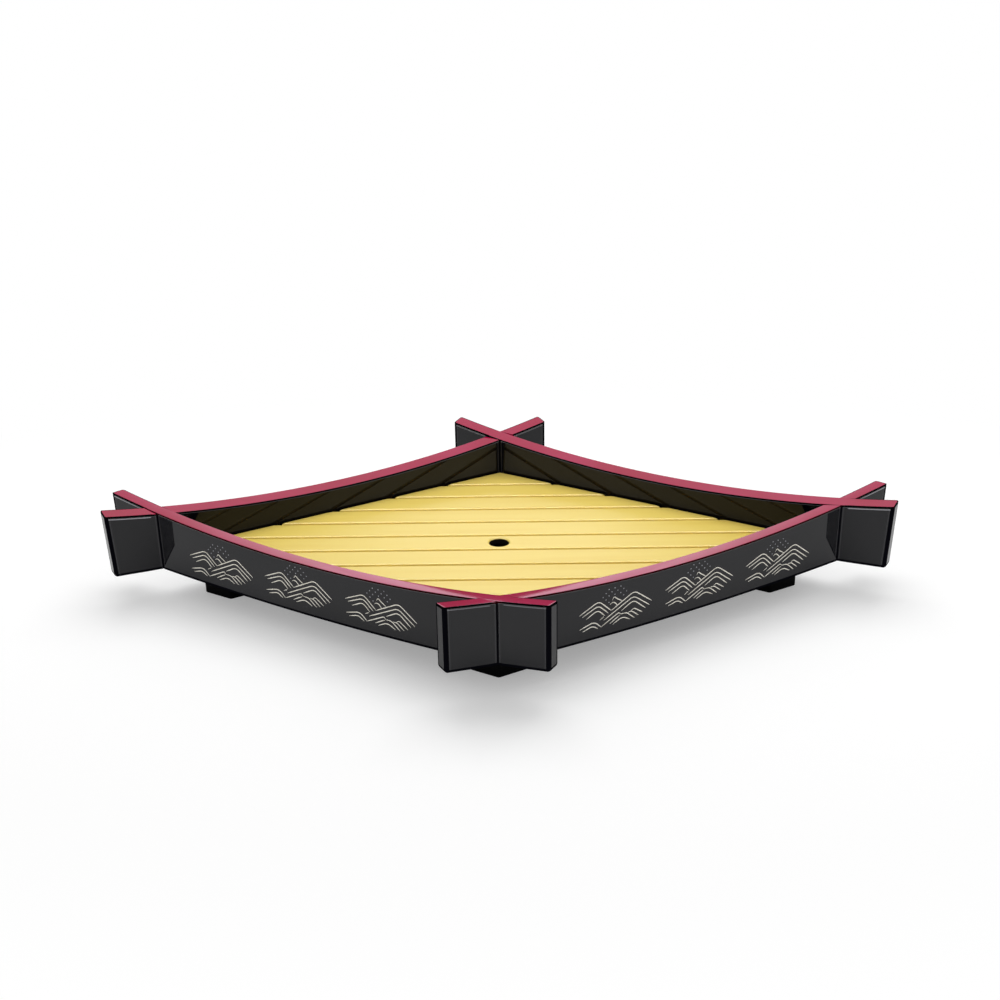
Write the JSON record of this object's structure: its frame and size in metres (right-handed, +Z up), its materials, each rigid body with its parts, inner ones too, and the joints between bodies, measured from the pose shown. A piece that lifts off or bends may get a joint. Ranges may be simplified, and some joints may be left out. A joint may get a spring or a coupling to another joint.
{
  "type": "serving tray",
  "caption": "Rhombus serving tray of curved black beams crossed at the corners, red top edges, with a lift-out slatted board.",
  "frame": {"origin": "on the table under the middle of the tray, at the bottom of the feet", "axes": "+X to the right along the long diagonal, +Y to the rear along the short diagonal, +Z up"},
  "size_m": [0.767, 0.457, 0.1004],
  "materials": {
    "black_gloss": "high gloss black",
    "red_gloss": "high gloss vermilion red",
    "black_satin": "satin black",
    "board_yellow": "satin bamboo yellow",
    "dowel_wood": "plain beech",
    "steel": "zinc-plated screws and pins"
  },
  "bodies": {
    "tray": {"front_left_beam": "black_gloss", "rear_right_beam": "black_gloss", "front_right_beam": "black_gloss", "rear_left_beam": "black_gloss", "front_left_cap": "red_gloss", "rear_right_cap": "red_gloss", "front_right_cap": "red_gloss", "rear_left_cap": "red_gloss", "base_panel": "black_satin", "front_left_cleat": "black_satin", "front_right_cleat": "black_satin", "rear_left_cleat": "black_satin", "rear_right_cleat": "black_satin", "lap_dowels": "dowel_wood", "cleat_screws": "steel", "panel_screws": "steel", "foot_screws": "steel", "left_foot": "black_satin", "right_foot": "black_satin", "front_foot": "black_satin", "rear_foot": "black_satin"},
    "board": {"slat_1": "board_yellow", "slat_2": "board_yellow", "slat_3": "board_yellow", "slat_4": "board_yellow", "slat_5": "board_yellow", "slat_6": "board_yellow", "slat_7": "board_yellow", "slat_8": "board_yellow", "slat_9": "board_yellow", "slat_10": "board_yellow", "slat_11": "board_yellow", "batten_1": "board_yellow", "batten_2": "board_yellow", "batten_3": "board_yellow", "batten_4": "board_yellow", "batten_5": "board_yellow", "batten_6": "board_yellow", "slat_pins": "steel"}
  },
  "joints": [
    {"name": "board_lift", "type": "slide", "parent": "tray", "child": "board", "axis": [0, 0, 1], "range_m": [0, 0.12]}
  ]
}
